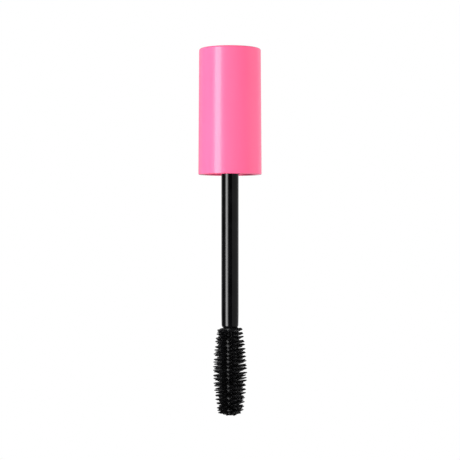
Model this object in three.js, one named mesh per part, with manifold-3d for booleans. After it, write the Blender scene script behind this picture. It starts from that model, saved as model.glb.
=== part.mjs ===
// Mascara applicator: a gloss cap carrying a wand and a moulded elastomer brush.
// Five pieces on one axis: cap shell, threaded inner cap, sealing washer, wand and brush.
// Millimetres, +Z up. The origin is the centre of the cap's mouth, on the plane of its rim:
// the cap stands above it, and the wand and brush hang below it.
import * as THREE from "three";
import { mergeVertices } from "three/addons/utils/BufferGeometryUtils.js";
import Module from "manifold-3d";

const wasm = await Module();
wasm.setup();
const { Manifold } = wasm;

// ---------------------------------------------------------------- driving dimensions
const FACETS = 48; // sides of every piece turned about the axis
const CORNER_STEPS = 4; // chords in each rounded corner
const FIT = 0.05; // gap between faces that seat on each other
const SLIP = 0.15; // radial gap between pieces pushed into each other

const CAP = {
  height: 35.8,
  mouthRadius: 9.0,
  topRadius: 8.78, // the outside has a little draft towards the closed end
  topCorner: 0.6,
  rimCorner: 0.3,
  boreRadius: 7.75,
  topWall: 1.5,
};
const GRIP_RIBS = { count: 8, width: 0.7, reach: 0.3, from: 2.2, to: 23.4 };
const STOP_FINS = { count: 4, width: 0.8, innerRadius: 2.5 }; // they bear on the top of the inner cap

const INNER_CAP = {
  mouth: 1.0, // set back from the rim of the shell
  skirtRadius: 7.35,
  threadRootRadius: 6.75,
  ceiling: 12.0,
  ceilingWall: 1.4,
  socketRadius: 4.0,
  snapBead: { reach: 0.25, width: 0.7 }, // stands in from the socket's wall, into the wand's groove
  top: 24.0,
  topWall: 1.0,
};
const THREAD = { pitch: 3.0, turns: 1.75, start: 3.2, radius: 0.48, sides: 8, stepsPerTurn: 24 };

const WAND = {
  radius: 2.45,
  end: -43.6,
  endCorner: 1.0,
  noseLength: 4.0,
  noseRadius: 2.4, // the last few millimetres are drawn in a little
  headTop: 22.8,
  headChamfer: 0.5,
  flangeRadius: 3.6,
  flangeThickness: 0.8,
  snapGroove: { at: 19.4, width: 1.2, depth: 0.25 },
  boreRadius: 1.45,
  boreDepth: 8.5,
};

const WASHER = { innerRadius: 3.75, outerRadius: 6.6, thickness: 1.0 };

const BRUSH = {
  shankRadius: 1.3,
  shankLength: 8.0,
  shankBarbs: 3,
  barbHeight: 0.1,
  shankLead: 0.3, // how much slimmer the shank is at its inner end
  neckRadius: 1.85,
  neckLength: 0.45,
  coreRadius: 1.8,
  tipRadius: 1.3,
  tip: -68.4,
};
const BRISTLES = {
  rings: 21,
  perRing: 12, // long bristles stand in straight rows, and a short one stands between each four
  firstRing: -44.1,
  lastRing: -67.3,
  firstReach: 3.3, // how far the tips of the first ring stand from the axis
  lastReach: 3.0,
  belly: 1.75, // how much further the tips of the long bristles reach half way along
  shortBelly: 0.3,
  rootRadius: 0.3,
  tipRadius: 0.15,
  sides: 3,
  rootDepth: 0.5, // how far each bristle starts inside the core
};

const COLOURS = {
  pink: { color: 0xfb6ea4, roughness: 0.2, metalness: 0 },
  innerPink: { color: 0xf286ae, roughness: 0.45, metalness: 0 },
  black: { color: 0x161418, roughness: 0.25, metalness: 0 },
  rubber: { color: 0x0e0e10, roughness: 0.5, metalness: 0 },
  washer: { color: 0xe9e7e2, roughness: 0.6, metalness: 0 },
};

// ---------------------------------------------------------------- helpers
// A quarter-round (or any other) arc of [radius, z] points about the centre (r, z), angles in degrees.
function arc(r, z, radius, fromDegrees, toDegrees) {
  return Array.from({ length: CORNER_STEPS + 1 }, (_, i) => {
    const a = THREE.MathUtils.degToRad(fromDegrees + ((toDegrees - fromDegrees) * i) / CORNER_STEPS);
    return [r + radius * Math.cos(a), z + radius * Math.sin(a)];
  });
}

// Turns a profile of [radius, z] points about +Z. It runs anticlockwise, from the axis back to the axis.
function turned(profile, facets = FACETS) {
  const points = profile.map(([r, z]) => new THREE.Vector2(r, z));
  return new THREE.LatheGeometry(points, facets).rotateX(Math.PI / 2);
}

// The same for a ring, whose profile doesn't touch the axis.
function turnedRing(profile, facets = FACETS) {
  return turned([...profile, profile[0]], facets);
}

function toSolid(geometry) {
  const bare = geometry.clone().deleteAttribute("normal").deleteAttribute("uv");
  const merged = mergeVertices(bare, 1e-4);
  return new Manifold(
    new wasm.Mesh({
      numProp: 3,
      vertProperties: merged.attributes.position.array,
      triVerts: new Uint32Array(merged.index.array),
    }),
  );
}

function toGeometry(solid) {
  const { vertProperties, triVerts } = solid.getMesh();
  return new THREE.BufferGeometry()
    .setAttribute("position", new THREE.BufferAttribute(vertProperties, 3))
    .setIndex(new THREE.BufferAttribute(triVerts, 1));
}

function joined(geometries) {
  return toGeometry(Manifold.union(geometries.map(toSolid)));
}

function piece(name, geometry, look) {
  const mesh = new THREE.Mesh(geometry, new THREE.MeshStandardMaterial(look));
  mesh.geometry.computeVertexNormals();
  mesh.name = name;
  return mesh;
}

// ---------------------------------------------------------------- cap shell
// Radial plates standing inside the shell, from innerRadius into the wall.
function radialPlates(count, width, innerRadius, from, to) {
  const wallBite = 0.5;
  const outerRadius = CAP.boreRadius + wallBite;
  const middle = (innerRadius + outerRadius) / 2;
  return Array.from({ length: count }, (_, i) =>
    new THREE.BoxGeometry(outerRadius - innerRadius, width, to - from)
      .translate(middle, 0, (from + to) / 2)
      .rotateZ(((i + 0.5) / count) * 2 * Math.PI),
  );
}

function capShell() {
  const { height, mouthRadius, topRadius, topCorner, rimCorner, boreRadius, topWall } = CAP;
  const ceiling = height - topWall;
  const shell = turned([
    [0, ceiling],
    [boreRadius, ceiling],
    [boreRadius, 0],
    ...arc(mouthRadius - rimCorner, rimCorner, rimCorner, -90, 0),
    ...arc(topRadius - topCorner, height - topCorner, topCorner, 0, 90),
    [0, height],
  ]);
  const ribs = radialPlates(
    GRIP_RIBS.count, GRIP_RIBS.width, boreRadius - GRIP_RIBS.reach, GRIP_RIBS.from, GRIP_RIBS.to,
  );
  const finBottom = INNER_CAP.top + FIT;
  const finTop = ceiling + topWall / 3; // inside the top wall, so that the two join
  const fins = radialPlates(
    STOP_FINS.count, STOP_FINS.width, STOP_FINS.innerRadius, finBottom, finTop,
  );
  return piece("cap_shell", joined([shell, ...ribs, ...fins]), COLOURS.pink);
}

// ---------------------------------------------------------------- inner cap
class Helix extends THREE.Curve {
  getPoint(t, target = new THREE.Vector3()) {
    const angle = t * THREAD.turns * 2 * Math.PI;
    const radius = INNER_CAP.threadRootRadius;
    return target.set(
      radius * Math.cos(angle),
      radius * Math.sin(angle),
      THREAD.start + t * THREAD.turns * THREAD.pitch,
    );
  }
}

// A rounded thread: half of its section stands in from the wall, and half is inside it.
function threadRidge() {
  const section = new THREE.Shape(
    Array.from({ length: THREAD.sides }, (_, i) => {
      const a = (i / THREAD.sides) * 2 * Math.PI;
      return new THREE.Vector2(THREAD.radius * Math.cos(a), THREAD.radius * Math.sin(a));
    }),
  );
  return new THREE.ExtrudeGeometry(section, {
    steps: Math.round(THREAD.turns * THREAD.stepsPerTurn),
    extrudePath: new Helix(),
    bevelEnabled: false,
  });
}

function innerCap() {
  const { mouth, skirtRadius, threadRootRadius, ceiling, ceilingWall, socketRadius } = INNER_CAP;
  const { snapBead, top, topWall } = INNER_CAP;
  const socketBore = WAND.radius + SLIP;
  const beadMiddle = WAND.snapGroove.at + WAND.snapGroove.width / 2;
  const beadSlope = snapBead.width / 2;
  const body = turned([
    [0, top - topWall],
    [socketBore, top - topWall],
    [socketBore, beadMiddle + beadSlope],
    [socketBore - snapBead.reach, beadMiddle + beadSlope - snapBead.reach],
    [socketBore - snapBead.reach, beadMiddle - beadSlope + snapBead.reach],
    [socketBore, beadMiddle - beadSlope],
    [socketBore, ceiling],
    [threadRootRadius, ceiling],
    [threadRootRadius, mouth],
    [skirtRadius, mouth],
    [skirtRadius, ceiling + ceilingWall],
    [socketRadius, ceiling + ceilingWall],
    [socketRadius, top],
    [0, top],
  ]);
  return piece("inner_cap", joined([body, threadRidge()]), COLOURS.innerPink);
}

// ---------------------------------------------------------------- sealing washer
function sealingWasher() {
  const { innerRadius, outerRadius, thickness } = WASHER;
  const top = INNER_CAP.ceiling - FIT;
  const ring = turnedRing([
    [innerRadius, top - thickness],
    [outerRadius, top - thickness],
    [outerRadius, top],
    [innerRadius, top],
  ]);
  return piece("sealing_washer", ring, COLOURS.washer);
}

// ---------------------------------------------------------------- wand
function wand() {
  const { radius, end, endCorner, noseLength, noseRadius, headTop, headChamfer } = WAND;
  const { flangeRadius, flangeThickness, snapGroove, boreRadius, boreDepth } = WAND;
  const flangeTop = INNER_CAP.ceiling - FIT;
  const grooveFloor = radius - snapGroove.depth;
  const rod = turned([
    [0, end + boreDepth],
    [boreRadius, end + boreDepth],
    [boreRadius, end],
    ...arc(noseRadius - endCorner, end + endCorner, endCorner, -90, 0),
    [radius, end + noseLength],
    [radius, flangeTop - flangeThickness],
    [flangeRadius, flangeTop - flangeThickness],
    [flangeRadius, flangeTop],
    [radius, flangeTop],
    [radius, snapGroove.at],
    [grooveFloor, snapGroove.at + snapGroove.depth],
    [grooveFloor, snapGroove.at + snapGroove.width - snapGroove.depth],
    [radius, snapGroove.at + snapGroove.width],
    [radius, headTop - headChamfer],
    [radius - headChamfer, headTop],
    [0, headTop],
  ]);
  return piece("wand", rod, COLOURS.black);
}

// ---------------------------------------------------------------- brush
// The moulded core: barbed shank inside the wand, neck, and a slightly tapered body with a domed tip.
function brushCore() {
  const { shankRadius, shankLength, shankBarbs, barbHeight, shankLead } = BRUSH;
  const { neckRadius, neckLength, coreRadius, tipRadius, tip } = BRUSH;
  const neckTop = WAND.end - FIT;
  const shankTop = neckTop + shankLength;
  const barbPitch = shankLength / (shankBarbs + 1);
  const barbs = Array.from({ length: shankBarbs }, (_, i) => {
    const z = neckTop + (i + 1) * barbPitch;
    return [
      [shankRadius, z - barbHeight],
      [shankRadius + barbHeight, z - barbHeight],
      [shankRadius, z + barbPitch / 3],
    ];
  }).flat();
  return turned(
    [
      ...arc(0, tip + tipRadius, tipRadius, -90, 0),
      [coreRadius, BRISTLES.firstRing - BRISTLES.rootRadius],
      [neckRadius, neckTop - neckLength],
      [neckRadius, neckTop],
      [shankRadius, neckTop],
      ...barbs,
      [shankRadius - shankLead, shankTop],
      [0, shankTop],
    ],
    BRISTLES.perRing,
  ).rotateZ(Math.PI / BRISTLES.perRing);
}

// One bristle, standing out from the axis at an angle about it.
function bristle(z, reach, angle) {
  const start = BRUSH.tipRadius - BRISTLES.rootDepth;
  return new THREE.CylinderGeometry(
    BRISTLES.tipRadius, BRISTLES.rootRadius, reach - start, BRISTLES.sides,
  )
    .rotateZ(-Math.PI / 2)
    .translate((reach + start) / 2, 0, 0)
    .rotateZ(angle)
    .translate(0, 0, z);
}

// One ring of bristles, at a number of ring pitches from the first.
function bristleRing(ring, belly, turn) {
  const { rings, perRing, firstRing, lastRing, firstReach, lastReach } = BRISTLES;
  const along = ring / (rings - 1);
  const z = THREE.MathUtils.lerp(firstRing, lastRing, along);
  const reach =
    THREE.MathUtils.lerp(firstReach, lastReach, along) + belly * Math.sin(Math.PI * along);
  return Array.from({ length: perRing }, (_, i) =>
    bristle(z, reach, ((i + turn) / perRing) * 2 * Math.PI),
  );
}

function brush() {
  const bristles = [];
  for (let ring = 0; ring < BRISTLES.rings; ring++) {
    bristles.push(...bristleRing(ring, BRISTLES.belly, 0));
    if (ring < BRISTLES.rings - 1) {
      bristles.push(...bristleRing(ring + 0.5, BRISTLES.shortBelly, 0.5));
    }
  }
  return piece("brush", joined([brushCore(), ...bristles]), COLOURS.rubber);
}

// ---------------------------------------------------------------- the applicator
const applicator = new THREE.Group();
applicator.name = "mascara_applicator";
applicator.add(capShell(), innerCap(), sealingWasher(), wand(), brush());

export default applicator;
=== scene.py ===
"""A mascara applicator: gloss pink cap, black wand and moulded elastomer brush.

Metres, +Z up. The frame's origin is the centre of the cap's mouth. The cap stands above it, and the wand
and the brush hang below it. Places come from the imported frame; small details are sized in millimetres here.
"""

import random
from math import cos, pi, radians, sin, sqrt

import bmesh
import bpy
from mathutils import Matrix, Vector


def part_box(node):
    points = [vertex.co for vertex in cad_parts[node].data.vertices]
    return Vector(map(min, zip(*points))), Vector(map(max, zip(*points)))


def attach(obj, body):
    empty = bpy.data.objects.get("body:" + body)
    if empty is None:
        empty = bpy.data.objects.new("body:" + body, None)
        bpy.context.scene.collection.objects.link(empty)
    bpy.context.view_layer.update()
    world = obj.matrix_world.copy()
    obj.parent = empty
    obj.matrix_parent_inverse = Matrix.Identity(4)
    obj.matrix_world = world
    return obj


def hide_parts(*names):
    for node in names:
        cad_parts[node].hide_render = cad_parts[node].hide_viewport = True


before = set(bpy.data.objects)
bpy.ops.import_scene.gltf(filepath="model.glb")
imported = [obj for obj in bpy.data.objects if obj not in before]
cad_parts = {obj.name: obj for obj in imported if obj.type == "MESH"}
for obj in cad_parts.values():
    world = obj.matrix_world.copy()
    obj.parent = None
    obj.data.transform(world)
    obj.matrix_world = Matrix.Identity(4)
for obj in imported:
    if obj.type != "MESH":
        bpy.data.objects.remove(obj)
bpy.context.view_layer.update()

MM = 0.001
random.seed(7)

# ---------------------------------------------------------------- places, from the frame
CAP_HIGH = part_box("cap_shell")[1]
INNER_LOW, INNER_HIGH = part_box("inner_cap")
WASHER_LOW, WASHER_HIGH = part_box("sealing_washer")
WAND_LOW, WAND_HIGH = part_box("wand")
BRUSH_LOW, BRUSH_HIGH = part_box("brush")

# ---------------------------------------------------------------- sizes of details
ROUND_SEGMENTS = 160
SHARP_ANGLE = radians(35)  # sharper edges than this stay creased
SEAT_GAP = 0.05 * MM  # between faces that seat on each other

CAP_MOUTH_RADIUS = CAP_HIGH.x
CAP_TOP_RADIUS = CAP_MOUTH_RADIUS - 0.22 * MM
CAP_TOP_CORNER = 0.6 * MM
CAP_RIM_CORNER = 0.3 * MM
CAP_BORE = 7.75 * MM
CAP_BORE_LEAD_IN = 0.2 * MM
CAP_TOP_WALL = 1.5 * MM
CAP_INSIDE_CORNER = 0.5 * MM
GRIP_RIBS = {"count": 8, "width": 0.7 * MM, "reach": 0.3 * MM, "low": 2.2 * MM, "high": 23.4 * MM}
STOP_FINS = {"count": 4, "width": 0.8 * MM, "inner": 2.5 * MM}
PLATE_BITE = 0.5 * MM  # how far ribs and fins run into the cap's wall

SKIRT_RADIUS = INNER_HIGH.x
THREAD_ROOT = 6.75 * MM
INNER_CEILING = 12.0 * MM
INNER_CEILING_WALL = 1.4 * MM
INNER_EDGE = 0.15 * MM
SOCKET_RADIUS = 4.0 * MM
SOCKET_BORE = 2.6 * MM
SOCKET_TOP_WALL = 1.0 * MM
SNAP_BEAD = {"reach": 0.25 * MM, "half_width": 0.35 * MM}
THREAD = {
    "pitch": 3.0 * MM,
    "turns": 1.75,
    "start": 3.2 * MM,
    "height": 0.46 * MM,
    "half_width": 0.62 * MM,
    "bite": 0.35 * MM,  # how far it runs into the inner cap's wall
    "fade": 0.06,  # the share of its length over which each end dies away
    "steps": 160,
}

WASHER_INNER = 3.75 * MM
WASHER_CORNER = 0.15 * MM

WAND_RADIUS = 2.45 * MM
WAND_NOSE_RADIUS = 2.4 * MM
WAND_NOSE_LENGTH = 4.0 * MM
WAND_END_CORNER = 1.0 * MM
WAND_HEAD_CORNER = 0.5 * MM
WAND_FLANGE = {"radius": WAND_HIGH.x, "thickness": 0.8 * MM, "fillet": 0.3 * MM, "edge": 0.1 * MM}
WAND_GROOVE = {"at": 19.4 * MM, "width": 1.2 * MM, "depth": 0.25 * MM}
WAND_BORE = {"radius": 1.45 * MM, "depth": 8.5 * MM, "lead_in": 0.12 * MM}

BRUSH_NECK_RADIUS = 1.85 * MM
BRUSH_NECK_TOP = WAND_LOW.z - SEAT_GAP
BRUSH_NECK_LENGTH = 0.35 * MM
BRUSH_SHANK = {"radius": 1.3 * MM, "lead": 0.3 * MM, "barbs": 3, "barb": 0.1 * MM}
BRUSH_LEAN = 0.12 * MM  # how far the tip stands off the axis, towards +X
LEAN_POWER = 1.3  # the lean grows faster towards the tip
CORE_TOP_RADIUS = 1.85 * MM
CORE_END_RADIUS = 1.5 * MM
CORE_DOME = 1.0 * MM

# One bristle. flare_end and tip_start are shares of its length, and flare is how many times the root radius
# it measures at the core and at flare_end. tip_bend is the share of the bend that the tip's base has.
BRISTLE = {
    "root": 0.39 * MM,
    "tip": 0.13 * MM,
    "sides": 10,
    "buried": 0.35 * MM,
    "flare": (1.25, 1.05),
    "flare_end": 0.08,
    "taper_steps": 6,
    "taper_power": 0.6,
    "tip_start": 0.92,
    "tip_bend": 0.85,
    "tip_swell": 1.1,
    "tip_angles": (35, 65),
}

# The field of bristles. Their reach is from the axis: in the first and last ring, and what the belly adds
# half way. left_drop lowers those towards -X by up to twice its value, and right_cut shortens those
# towards +X by up to its value.
BRISTLE_RINGS = 21
BRISTLE_ROWS = 12
FIRST_RING = BRUSH_NECK_TOP - 0.45 * MM
RING_PITCH = 1.15 * MM
RING_TILT = 0.35 * MM  # how much each ring rises towards +Y
ROW_TURN = radians(-7.5)
LONG_BRISTLES = {
    "first": 3.7 * MM,
    "last": 3.8 * MM,
    "belly": 1.2 * MM,
    "between_rows": 0.0,
    "left_drop": 0.0,
    "right_cut": 0.0,
}
SHORT_BRISTLES = {
    "first": 3.65 * MM,
    "last": 3.55 * MM,
    "belly": -0.35 * MM,
    "between_rows": 0.5,
    "left_drop": RING_PITCH / 4,
    "right_cut": 0.3 * MM,
}
# How the bristles stand, and how much they vary. Lift is in degrees above level, and bend is a share of the
# length. Swing is added towards +X and taken off towards -X.
LIFT = {"middle": 2.5, "swing": 4.5, "jitter": 4.5}
BEND = {"middle": 0.02, "swing": 0.04, "jitter": 0.03}
TURN_JITTER = 2.0  # degrees
HEIGHT_JITTER = 0.08  # millimetres
LENGTH_RANGE = (0.95, 1.02)
THICKNESS_RANGE = (0.95, 1.05)

# The bristles round the domed end slope down, in degrees, and their roots lie inside the core.
END_RING_HEIGHT = 0.95 * MM
END_ROOT_RADIUS = 1.1 * MM
END_THICKNESS = 0.9
END_JITTER = {"turn": 4, "slope": 5}  # degrees
END_RINGS = [
    {"count": 12, "slope": 4, "reach": 3.1 * MM, "turn": 0.5},
    {"count": 8, "slope": 24, "reach": 1.9 * MM, "turn": 0},
]


# ---------------------------------------------------------------- mesh helpers
def arc(r, z, radius, start, end, steps=8):
    """Points (r, z) of a circular arc in the profile plane, angles in degrees."""
    angles = [radians(start + (end - start) * i / steps) for i in range(steps + 1)]
    return [(r + radius * cos(a), z + radius * sin(a)) for a in angles]


def new_object(name, bm):
    """A mesh object from bm, with its faces pointing out, smooth but for its sharp edges."""
    bmesh.ops.remove_doubles(bm, verts=bm.verts, dist=1e-7)
    bmesh.ops.recalc_face_normals(bm, faces=bm.faces)
    if bm.calc_volume(signed=True) < 0:
        bmesh.ops.reverse_faces(bm, faces=bm.faces)
    mesh = bpy.data.meshes.new(name)
    bm.to_mesh(mesh)
    bm.free()
    mesh.shade_smooth()
    mesh.set_sharp_from_angle(angle=SHARP_ANGLE)
    obj = bpy.data.objects.new(name, mesh)
    bpy.context.scene.collection.objects.link(obj)
    return obj


def lathe(name, profile, segments=ROUND_SEGMENTS):
    """The profile of (r, z) points turned about Z. It starts and ends on the axis, or closes on itself."""
    bm = bmesh.new()
    on_axis = 1e-9
    turn = [2 * pi * i / segments for i in range(segments)]
    rings = []
    for r, z in profile:
        if r <= on_axis:
            rings.append([bm.verts.new((0, 0, z))])
        else:
            rings.append([bm.verts.new((r * cos(a), r * sin(a), z)) for a in turn])
    pairs = list(zip(rings, rings[1:]))
    if profile[0][0] > on_axis:
        pairs.append((rings[-1], rings[0]))
    for low, high in pairs:
        for i in range(segments):
            j = (i + 1) % segments
            corners = [low[i % len(low)], low[j % len(low)], high[j % len(high)], high[i % len(high)]]
            face = list(dict.fromkeys(corners))
            if len(face) > 2:
                bm.faces.new(face)
    return new_object(name, bm)


def bridge(bm, loops):
    """Faces between each two neighbouring loops, which have the same number of vertices."""
    for a, b in zip(loops, loops[1:]):
        for k in range(len(a)):
            m = (k + 1) % len(a)
            bm.faces.new((a[k], a[m], b[m], b[k]))


def add_box(bm, low, high, turn):
    """Adds a box between two corners, turned about Z, to bm."""
    size = Vector(high) - Vector(low)
    middle = (Vector(high) + Vector(low)) / 2
    place = Matrix.Rotation(turn, 4, "Z") @ Matrix.Translation(middle) @ Matrix.Diagonal((*size, 1))
    bmesh.ops.create_cube(bm, size=1, matrix=place)


def join_solid(body, added):
    """Unites the second object's solids into the first one's mesh, and removes the second object."""
    union = body.modifiers.new("union", "BOOLEAN")
    union.operation = "UNION"
    union.solver = "MANIFOLD"
    union.object = added
    graph = bpy.context.evaluated_depsgraph_get()
    mesh = bpy.data.meshes.new_from_object(body.evaluated_get(graph))
    body.modifiers.clear()
    body.data = mesh
    mesh.name = body.name
    mesh.shade_smooth()
    mesh.set_sharp_from_angle(angle=SHARP_ANGLE)
    bpy.data.objects.remove(added)
    return body


def add_shells(body, added):
    """Adds the second object's closed shells to the first one's mesh as they are, and removes that object.

    For hundreds of solids that overlap each other, on which a boolean union may never finish.
    """
    bm = bmesh.new()
    bm.from_mesh(body.data)
    bm.from_mesh(added.data)
    bm.to_mesh(body.data)
    bm.free()
    bpy.data.objects.remove(added)
    return body


def piece(obj, node, material):
    """Gives a finished mesh its material and its body, and hides the CAD node that it stands for."""
    obj.data.materials.clear()
    obj.data.materials.append(material)
    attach(obj, "root")
    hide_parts(node)
    return obj


# ---------------------------------------------------------------- materials
def new_material(name, colour, roughness, **inputs):
    """A Principled material with its node tree and shader. specular_ior_level sets Specular IOR Level."""
    material = bpy.data.materials.new(name)
    material.use_nodes = True
    tree = material.node_tree
    shader = tree.nodes["Principled BSDF"]
    shader.inputs["Base Color"].default_value = (*colour, 1)
    shader.inputs["Roughness"].default_value = roughness
    for key, value in inputs.items():
        socket = key.replace("_", " ").title().replace("Ior", "IOR")
        shader.inputs[socket].default_value = value
    return material, tree, shader


def noise(tree, scale, detail=2.0, stretch=(1, 1, 1)):
    """Noise in the object's own space. Scale is in features per metre."""
    place = tree.nodes.new("ShaderNodeTexCoord")
    mapping = tree.nodes.new("ShaderNodeMapping")
    mapping.inputs["Scale"].default_value = stretch
    texture = tree.nodes.new("ShaderNodeTexNoise")
    texture.inputs["Scale"].default_value = scale
    texture.inputs["Detail"].default_value = detail
    tree.links.new(place.outputs["Object"], mapping.inputs["Vector"])
    tree.links.new(mapping.outputs["Vector"], texture.inputs["Vector"])
    return texture.outputs["Fac"]


def roughen(tree, shader, factor, low, high):
    """Varies the roughness from low to high by a noise, most of which lies between 0.3 and 0.7."""
    ramp = tree.nodes.new("ShaderNodeMapRange")
    ramp.inputs["From Min"].default_value = 0.3
    ramp.inputs["From Max"].default_value = 0.7
    ramp.inputs["To Min"].default_value = low
    ramp.inputs["To Max"].default_value = high
    tree.links.new(factor, ramp.inputs["Value"])
    tree.links.new(ramp.outputs["Result"], shader.inputs["Roughness"])


def tint(tree, shader, factor, colour_a, colour_b):
    """Varies the base colour between two colours by a noise."""
    ramp = tree.nodes.new("ShaderNodeValToRGB")
    ramp.color_ramp.elements[0].position = 0.35
    ramp.color_ramp.elements[0].color = (*colour_a, 1)
    ramp.color_ramp.elements[1].position = 0.65
    ramp.color_ramp.elements[1].color = (*colour_b, 1)
    tree.links.new(factor, ramp.inputs["Fac"])
    tree.links.new(ramp.outputs["Color"], shader.inputs["Base Color"])


def bump(tree, shader, height, distance, socket="Normal"):
    """Bump from a height of 0 to 1 that stands for the given distance."""
    node = tree.nodes.new("ShaderNodeBump")
    node.inputs["Strength"].default_value = 1.0
    node.inputs["Distance"].default_value = distance
    tree.links.new(height, node.inputs["Height"])
    tree.links.new(node.outputs["Normal"], shader.inputs[socket])


def cap_material():
    """Glossy pink moulding: faint flow variation in the colour, and a very fine orange peel."""
    material, tree, shader = new_material(
        "cap_pink",
        (0.98, 0.122, 0.275),
        0.4,
        specular_ior_level=0.1,
        coat_weight=1.0,
        coat_roughness=0.17,
        coat_ior=1.42,
    )
    flow = noise(tree, 90, 3, (1, 1, 0.35))
    tint(tree, shader, flow, (0.97, 0.118, 0.268), (0.99, 0.126, 0.282))
    roughen(tree, shader, noise(tree, 700), 0.36, 0.44)
    bump(tree, shader, noise(tree, 1400), 0.002 * MM, "Coat Normal")
    return material


def inner_cap_material():
    """Satin moulded polypropylene in the cap's pink."""
    material, tree, shader = new_material("inner_cap_pink", (0.85, 0.1, 0.2), 0.42)
    tint(tree, shader, noise(tree, 160, 3), (0.82, 0.085, 0.17), (0.88, 0.105, 0.205))
    roughen(tree, shader, noise(tree, 900, 3), 0.36, 0.5)
    bump(tree, shader, noise(tree, 2500, 3), 0.006 * MM)
    return material


def washer_material():
    """Foamed elastomer with fine closed pores."""
    material, tree, shader = new_material("washer_foam", (0.78, 0.77, 0.74), 0.75)
    cells = tree.nodes.new("ShaderNodeTexVoronoi")
    cells.inputs["Scale"].default_value = 3500
    place = tree.nodes.new("ShaderNodeTexCoord")
    tree.links.new(place.outputs["Object"], cells.inputs["Vector"])
    tint(tree, shader, noise(tree, 500, 3), (0.72, 0.71, 0.68), (0.82, 0.81, 0.78))
    bump(tree, shader, cells.outputs["Distance"], 0.03 * MM)
    return material


def wand_material():
    """Gloss black moulding with faint lengthwise drag marks."""
    material, tree, shader = new_material("wand_black", (0.002, 0.002, 0.0022), 0.1)
    drag = noise(tree, 1500, 3, (1, 1, 0.03))
    roughen(tree, shader, drag, 0.07, 0.12)
    tint(tree, shader, noise(tree, 300), (0.0015, 0.0015, 0.0017), (0.003, 0.003, 0.0034))
    bump(tree, shader, drag, 0.0006 * MM)
    return material


def brush_material():
    """Black elastomer: a soft gloss broken up by a fine moulded grain."""
    material, tree, shader = new_material(
        "brush_elastomer", (0.003, 0.003, 0.0035), 0.42, specular_ior_level=0.36
    )
    roughen(tree, shader, noise(tree, 2500, 3), 0.36, 0.5)
    tint(tree, shader, noise(tree, 600), (0.002, 0.002, 0.0023), (0.004, 0.004, 0.0046))
    bump(tree, shader, noise(tree, 6000, 3), 0.006 * MM)
    return material


# ---------------------------------------------------------------- cap shell
def radial_plates(name, count, width, inner, low, high):
    """Plates standing inside the cap, from the inner radius into its wall."""
    bm = bmesh.new()
    outer = CAP_BORE + PLATE_BITE
    for i in range(count):
        turn = 2 * pi * (i + 0.5) / count
        add_box(bm, (inner, -width / 2, low), (outer, width / 2, high), turn)
    return new_object(name, bm)


def make_cap_shell():
    """The shell, drawn in towards its closed end, with grip ribs and the fins that stop the inner cap."""
    top = CAP_HIGH.z
    ceiling = top - CAP_TOP_WALL
    inside = CAP_INSIDE_CORNER
    profile = [
        (0, ceiling),
        *arc(CAP_BORE - inside, ceiling - inside, inside, 90, 0),
        (CAP_BORE, CAP_BORE_LEAD_IN),
        (CAP_BORE + CAP_BORE_LEAD_IN, 0),
        *arc(CAP_MOUTH_RADIUS - CAP_RIM_CORNER, CAP_RIM_CORNER, CAP_RIM_CORNER, -90, 0),
        *arc(CAP_TOP_RADIUS - CAP_TOP_CORNER, top - CAP_TOP_CORNER, CAP_TOP_CORNER, 0, 90),
        (0, top),
    ]
    shell = lathe("cap_shell_gloss", profile)
    rib_inner = CAP_BORE - GRIP_RIBS["reach"]
    ribs = radial_plates(
        "ribs", GRIP_RIBS["count"], GRIP_RIBS["width"], rib_inner, GRIP_RIBS["low"], GRIP_RIBS["high"]
    )
    join_solid(shell, ribs)
    fin_low = INNER_HIGH.z + SEAT_GAP
    fin_high = ceiling + PLATE_BITE
    fins = radial_plates(
        "fins", STOP_FINS["count"], STOP_FINS["width"], STOP_FINS["inner"], fin_low, fin_high
    )
    return join_solid(shell, fins)


# ---------------------------------------------------------------- inner cap
def thread_ridge():
    """The rounded trapezoid thread, swept along its helix, fading into the wall at both ends.

    Where it fades out, it keeps a twentieth of its height and four tenths of its width.
    """
    bm = bmesh.new()
    steps = THREAD["steps"]
    bite, height, half = THREAD["bite"], THREAD["height"], THREAD["half_width"]
    section = [
        (-bite, -half),
        (0, -half),
        (0.75 * height, -0.55 * half),
        (height, -0.3 * half),
        (height, 0.3 * half),
        (0.75 * height, 0.55 * half),
        (0, half),
        (-bite, half),
    ]
    loops = []
    for i in range(steps + 1):
        t = i / steps
        ramp = min(1, t / THREAD["fade"], (1 - t) / THREAD["fade"])
        fade = sqrt(max(0, 1 - (1 - ramp) ** 2))
        angle = 2 * pi * THREAD["turns"] * t
        middle = THREAD["start"] + t * THREAD["turns"] * THREAD["pitch"]
        loop = []
        for inward, up in section:
            if inward > 0:
                inward = inward * (0.05 + 0.95 * fade)
            r = THREAD_ROOT - inward
            z = middle + up * (0.4 + 0.6 * fade)
            loop.append(bm.verts.new((r * cos(angle), r * sin(angle), z)))
        loops.append(loop)
    bridge(bm, loops)
    bm.faces.new(loops[0])
    bm.faces.new(reversed(loops[-1]))
    return new_object("thread", bm)


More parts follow.
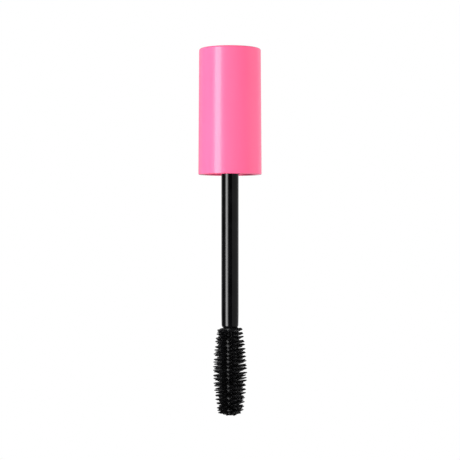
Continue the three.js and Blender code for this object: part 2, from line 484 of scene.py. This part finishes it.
def make_inner_cap():
    """The liner: a skirt with the thread inside it, and a socket with a bead in the wand's groove."""
    low, top = INNER_LOW.z, INNER_HIGH.z
    shoulder = INNER_CEILING + INNER_CEILING_WALL
    groove_middle = WAND_GROOVE["at"] + WAND_GROOVE["width"] / 2
    bead, bead_half = SNAP_BEAD["reach"], SNAP_BEAD["half_width"]
    edge = INNER_EDGE
    profile = [
        (0, top - SOCKET_TOP_WALL),
        (SOCKET_BORE, top - SOCKET_TOP_WALL),
        (SOCKET_BORE, groove_middle + bead_half),
        (SOCKET_BORE - bead, groove_middle + bead_half - bead),
        (SOCKET_BORE - bead, groove_middle - bead_half + bead),
        (SOCKET_BORE, groove_middle - bead_half),
        (SOCKET_BORE, INNER_CEILING),
        (THREAD_ROOT, INNER_CEILING),
        (THREAD_ROOT, low + 2 * edge),
        (THREAD_ROOT + 2 * edge, low),
        *arc(SKIRT_RADIUS - edge, low + edge, edge, -90, 0, 4),
        *arc(SKIRT_RADIUS - edge, shoulder - edge, edge, 0, 90, 4),
        *arc(SOCKET_RADIUS + 2 * edge, shoulder + 2 * edge, 2 * edge, -90, -180, 4),
        *arc(SOCKET_RADIUS - edge, top - edge, edge, 0, 90, 4),
        (0, top),
    ]
    body = lathe("inner_cap_threaded", profile)
    return join_solid(body, thread_ridge())


# ---------------------------------------------------------------- sealing washer
def make_washer():
    low, high, outer, corner = WASHER_LOW.z, WASHER_HIGH.z, WASHER_HIGH.x, WASHER_CORNER
    profile = [
        *arc(WASHER_INNER + corner, low + corner, corner, -180, -90, 4),
        *arc(outer - corner, low + corner, corner, -90, 0, 4),
        *arc(outer - corner, high - corner, corner, 0, 90, 4),
        *arc(WASHER_INNER + corner, high - corner, corner, 90, 180, 4),
    ]
    return lathe("sealing_washer_foam", profile, 96)


# ---------------------------------------------------------------- wand
def make_wand():
    """The stem, from the bore that holds the brush to the flange and the grooved head in the socket."""
    end, top = WAND_LOW.z, WAND_HIGH.z
    flange_high = INNER_CEILING - SEAT_GAP
    flange_low = flange_high - WAND_FLANGE["thickness"]
    flange, fillet, edge = WAND_FLANGE["radius"], WAND_FLANGE["fillet"], WAND_FLANGE["edge"]
    groove, width, depth = WAND_GROOVE["at"], WAND_GROOVE["width"], WAND_GROOVE["depth"]
    bore, lead_in = WAND_BORE["radius"], WAND_BORE["lead_in"]
    corner = WAND_HEAD_CORNER
    profile = [
        (0, end + WAND_BORE["depth"]),
        (bore, end + WAND_BORE["depth"]),
        (bore, end + lead_in),
        (bore + lead_in, end),
        *arc(WAND_NOSE_RADIUS - WAND_END_CORNER, end + WAND_END_CORNER, WAND_END_CORNER, -90, 0),
        (WAND_RADIUS, end + WAND_NOSE_LENGTH),
        (WAND_RADIUS, flange_low - fillet),
        *arc(WAND_RADIUS + fillet, flange_low - fillet, fillet, 180, 90, 4),
        *arc(flange - edge, flange_low + edge, edge, -90, 0, 3),
        *arc(flange - edge, flange_high - edge, edge, 0, 90, 3),
        (WAND_RADIUS, flange_high),
        (WAND_RADIUS, groove),
        (WAND_RADIUS - depth, groove + depth),
        (WAND_RADIUS - depth, groove + width - depth),
        (WAND_RADIUS, groove + width),
        *arc(WAND_RADIUS - corner, top - corner, corner, 0, 90, 4),
        (0, top),
    ]
    return lathe("wand_stem", profile, 128)


# ---------------------------------------------------------------- brush
def core_radius(z):
    """The core's radius, drawn in a little from the neck to the domed end."""
    along = (FIRST_RING - z) / (FIRST_RING - BRUSH_LOW.z - CORE_DOME)
    along = min(1, max(0, along))
    return CORE_TOP_RADIUS + (CORE_END_RADIUS - CORE_TOP_RADIUS) * along


def shank_barbs():
    """Profile points of the saw-toothed barbs that hold the shank in the wand's bore."""
    radius, barb = BRUSH_SHANK["radius"], BRUSH_SHANK["barb"]
    pitch = (BRUSH_HIGH.z - BRUSH_NECK_TOP) / (BRUSH_SHANK["barbs"] + 1)
    points = []
    for i in range(BRUSH_SHANK["barbs"]):
        z = BRUSH_NECK_TOP + (i + 1) * pitch
        points += [(radius, z - barb), (radius + barb, z - barb), (radius, z + pitch / 3)]
    return points


def brush_core():
    """The core between its domed end and the neck, and the barbed shank above them."""
    low = BRUSH_LOW.z + CORE_DOME
    neck_low = BRUSH_NECK_TOP - BRUSH_NECK_LENGTH
    shank = BRUSH_SHANK["radius"]
    dome_steps = 12
    dome = [radians(-90 + 90 * i / dome_steps) for i in range(dome_steps)]
    core_steps = 40
    heights = [low + (neck_low - low) * i / core_steps for i in range(core_steps + 1)]
    profile = [
        *[(CORE_END_RADIUS * cos(a), low + CORE_DOME * sin(a)) for a in dome],
        *[(core_radius(z), z) for z in heights],
        (BRUSH_NECK_RADIUS, BRUSH_NECK_TOP),
        (shank, BRUSH_NECK_TOP),
        *shank_barbs(),
        (shank - BRUSH_SHANK["lead"], BRUSH_HIGH.z),
        (0, BRUSH_HIGH.z),
    ]
    return lathe("brush_moulded", profile, 72)


def bristle_loop(bm, middle, side, up, radius):
    """A loop of vertices round the bristle's middle line."""
    sides = BRISTLE["sides"]
    turn = [2 * pi * k / sides for k in range(sides)]
    return [bm.verts.new(middle + side * radius * cos(a) + up * radius * sin(a)) for a in turn]


def add_bristle(bm, root, out, length, thickness=1.0, bend=0.0):
    """One bristle from a point on the core: a flared root, a taper and a rounded tip.

    The tip stands off the straight line by bend times the length.
    """
    side = Vector((0, 0, 1)).cross(out).normalized()
    up = out.cross(side)
    root_radius = BRISTLE["root"] * thickness
    tip_radius = BRISTLE["tip"] * thickness
    flare, flare_end, tip_start = BRISTLE["flare"], BRISTLE["flare_end"], BRISTLE["tip_start"]

    stations = [(0.0, root_radius * flare[0]), (flare_end, root_radius * flare[1])]
    for i in range(1, BRISTLE["taper_steps"] + 1):
        t = flare_end + (tip_start - flare_end) * i / BRISTLE["taper_steps"]
        taper = (1 - t) ** BRISTLE["taper_power"]
        stations.append((t, tip_radius + (root_radius - tip_radius) * taper))
    loops = [bristle_loop(bm, root - out * BRISTLE["buried"], side, up, stations[0][1])]
    for t, radius in stations:
        middle = root + out * (t * length) + up * (bend * length * t * t)
        loops.append(bristle_loop(bm, middle, side, up, radius))

    tip_base = root + out * (length * tip_start) + up * (bend * length * BRISTLE["tip_bend"])
    tip_length = length * (1 - tip_start)
    for angle in BRISTLE["tip_angles"]:
        middle = tip_base + out * tip_length * sin(radians(angle))
        radius = tip_radius * BRISTLE["tip_swell"] * cos(radians(angle))
        loops.append(bristle_loop(bm, middle, side, up, radius))
    bridge(bm, loops)
    bm.faces.new(reversed(loops[0]))
    end = bm.verts.new(tip_base + out * tip_length)
    last = loops[-1]
    for k in range(len(last)):
        bm.faces.new((last[k], last[(k + 1) % len(last)], end))


def jitter(amount):
    """A random value from -amount to amount."""
    return random.uniform(-amount, amount)


def bristle_ring(bm, ring, rows, size):
    """A ring of bristles in the given rows."""
    along = ring / (BRISTLE_RINGS - 1)
    reach = size["first"] + (size["last"] - size["first"]) * along + size["belly"] * sin(pi * along)
    for row in rows:
        angle = ROW_TURN + 2 * pi * (row + size["between_rows"]) / BRISTLE_ROWS
        angle += radians(jitter(TURN_JITTER))
        z = FIRST_RING - ring * RING_PITCH + RING_TILT * sin(angle)
        z -= size["left_drop"] * (1 - cos(angle))
        radius = core_radius(z)
        lift = radians(LIFT["middle"] + LIFT["swing"] * cos(angle) + jitter(LIFT["jitter"]))
        out = Vector((cos(angle) * cos(lift), sin(angle) * cos(lift), sin(lift)))
        root = Vector((radius * cos(angle), radius * sin(angle), z + jitter(HEIGHT_JITTER) * MM))
        length = (reach - radius) * random.uniform(*LENGTH_RANGE)
        length -= size["right_cut"] * max(0, cos(angle))
        bend = BEND["middle"] + BEND["swing"] * cos(angle) + jitter(BEND["jitter"])
        add_bristle(bm, root, out, length, random.uniform(*THICKNESS_RANGE), bend)


def end_ring(bm, count, slope, reach, turn):
    """Bristles round the domed end, sloping down. Reach is from a point on the axis inside the dome."""
    middle = Vector((0, 0, BRUSH_LOW.z + END_RING_HEIGHT))
    for i in range(count):
        angle = 2 * pi * (i + turn) / count + radians(jitter(END_JITTER["turn"]))
        fall = radians(slope + jitter(END_JITTER["slope"]))
        out = Vector((cos(angle) * cos(fall), sin(angle) * cos(fall), -sin(fall)))
        add_bristle(bm, middle + out * END_ROOT_RADIUS, out, reach - END_ROOT_RADIUS, END_THICKNESS)


def bristle_field():
    """Long bristles in straight rows, short ones between them, and two lanes that have few short ones."""
    bm = bmesh.new()
    parting = (BRISTLE_ROWS // 6, BRISTLE_ROWS // 6 + BRISTLE_ROWS // 2)
    half_way = BRISTLE_RINGS // 2
    last = BRISTLE_RINGS - 1
    for ring in range(BRISTLE_RINGS):
        bristle_ring(bm, ring, range(BRISTLE_ROWS), LONG_BRISTLES)
        filled = ring < 2 or (ring > half_way and ring % 3 == 0)
        lanes = [row for row in range(BRISTLE_ROWS) if filled or row not in parting]
        if ring < last:
            bristle_ring(bm, ring, lanes, SHORT_BRISTLES)
    for size in END_RINGS:
        end_ring(bm, **size)
    return new_object("bristles", bm)


def make_brush():
    """The core and its bristles, leaning a little to one side."""
    brush = add_shells(brush_core(), bristle_field())
    length = BRUSH_NECK_TOP - BRUSH_LOW.z
    for vertex in brush.data.vertices:
        share = max(0, (BRUSH_NECK_TOP - vertex.co.z) / length)
        vertex.co.x += BRUSH_LEAN * share ** LEAN_POWER
    return brush


# ---------------------------------------------------------------- studio
CAMERA_DISTANCE = 0.414
CAMERA_HEIGHT = -0.0157
CAMERA_LENS = 114.0


def look_at(obj, place, target):
    obj.location = place
    obj.rotation_euler = (Vector(target) - Vector(place)).to_track_quat("-Z", "Y").to_euler()


def add_camera():
    """A level camera in front, on the -Y side."""
    data = bpy.data.cameras.new("camera")
    data.lens = CAMERA_LENS
    data.sensor_width = 36.0
    data.clip_start = 0.01
    camera = bpy.data.objects.new("camera", data)
    bpy.context.scene.collection.objects.link(camera)
    look_at(camera, (0, -CAMERA_DISTANCE, CAMERA_HEIGHT), (0, 0, CAMERA_HEIGHT))
    bpy.context.scene.camera = camera


def add_softbox(name, azimuth, elevation, distance, size, radiance, mirrored=True):
    """An area light round the object, seen in gloss only if mirrored.

    Azimuth 0 is the camera's side, positive to its right, in degrees.
    """
    data = bpy.data.lights.new(name, "AREA")
    data.shape = "RECTANGLE"
    data.size, data.size_y = size
    data.energy = radiance * pi * size[0] * size[1]
    light = bpy.data.objects.new(name, data)
    bpy.context.scene.collection.objects.link(light)
    a, e = radians(azimuth), radians(elevation)
    place = Vector((sin(a) * cos(e), -cos(a) * cos(e), sin(e))) * distance
    middle = Vector((0, 0, CAMERA_HEIGHT))
    look_at(light, middle + place, middle)
    light.visible_camera = False
    light.visible_glossy = mirrored


def add_lights():
    """Strips and panels for the streaks in the gloss, and soft fills for the plain colour."""
    add_softbox("key_strip", -45, 0, 0.6, (0.26, 0.9), 6.3)
    add_softbox("key_halo", -45, 0, 0.62, (0.54, 0.9), 1.3)
    add_softbox("right_panel", 74, 0, 0.7, (1.45, 1.4), 0.28)
    add_softbox("rear_right", 150, 0, 0.8, (0.9, 1.6), 0.57)
    add_softbox("rear_left", -150, 0, 0.8, (0.9, 1.6), 0.37)
    add_softbox("right_fill", 100, 0, 0.7, (0.7, 1.0), 3.3, mirrored=False)
    add_softbox("left_fill", -100, 0, 0.7, (0.7, 1.0), 2.0, mirrored=False)
    add_softbox("front_fill", 0, 15, 0.8, (0.7, 0.7), 2.1, mirrored=False)
    add_softbox("rear_fill", 180, 30, 0.8, (0.7, 0.7), 1.8, mirrored=False)


def studio_white():
    """A plain white glow, so that the ground is even and the lights alone shade the object."""
    material = bpy.data.materials.new("studio_white")
    material.use_nodes = True
    tree = material.node_tree
    tree.nodes.clear()
    glow = tree.nodes.new("ShaderNodeEmission")
    glow.inputs["Color"].default_value = (1, 1, 1, 1)
    glow.inputs["Strength"].default_value = 1.0
    out = tree.nodes.new("ShaderNodeOutputMaterial")
    tree.links.new(glow.outputs[0], out.inputs["Surface"])
    return material


def add_floor():
    """A pale floor that curves up into a wall all round, closed by a ceiling."""
    floor, wall, height, curve = -0.3, 2.2, 2.5, 0.8
    profile = [
        (0, floor),
        *arc(wall - curve, floor + curve, curve, -90, 0, 16),
        (wall, height),
        (0, height),
    ]
    cove = lathe("studio_floor", profile, 96)
    cove.data.materials.append(studio_white())
    cove.visible_glossy = False
    cove.visible_diffuse = False
    cove.visible_shadow = False


def set_world():
    """A near-black surrounding and plain colours in the picture."""
    world = bpy.data.worlds.new("studio")
    bpy.context.scene.world = world
    world.use_nodes = True
    background = world.node_tree.nodes["Background"]
    background.inputs["Color"].default_value = (0.9, 0.92, 1.0, 1)
    background.inputs["Strength"].default_value = 0.01
    view = bpy.context.scene.view_settings
    view.view_transform = "Standard"
    view.look = "None"


# ---------------------------------------------------------------- the applicator
piece(make_cap_shell(), "cap_shell", cap_material())
piece(make_inner_cap(), "inner_cap", inner_cap_material())
piece(make_washer(), "sealing_washer", washer_material())
piece(make_wand(), "wand", wand_material())
piece(make_brush(), "brush", brush_material())

add_camera()
add_lights()
add_floor()
set_world()
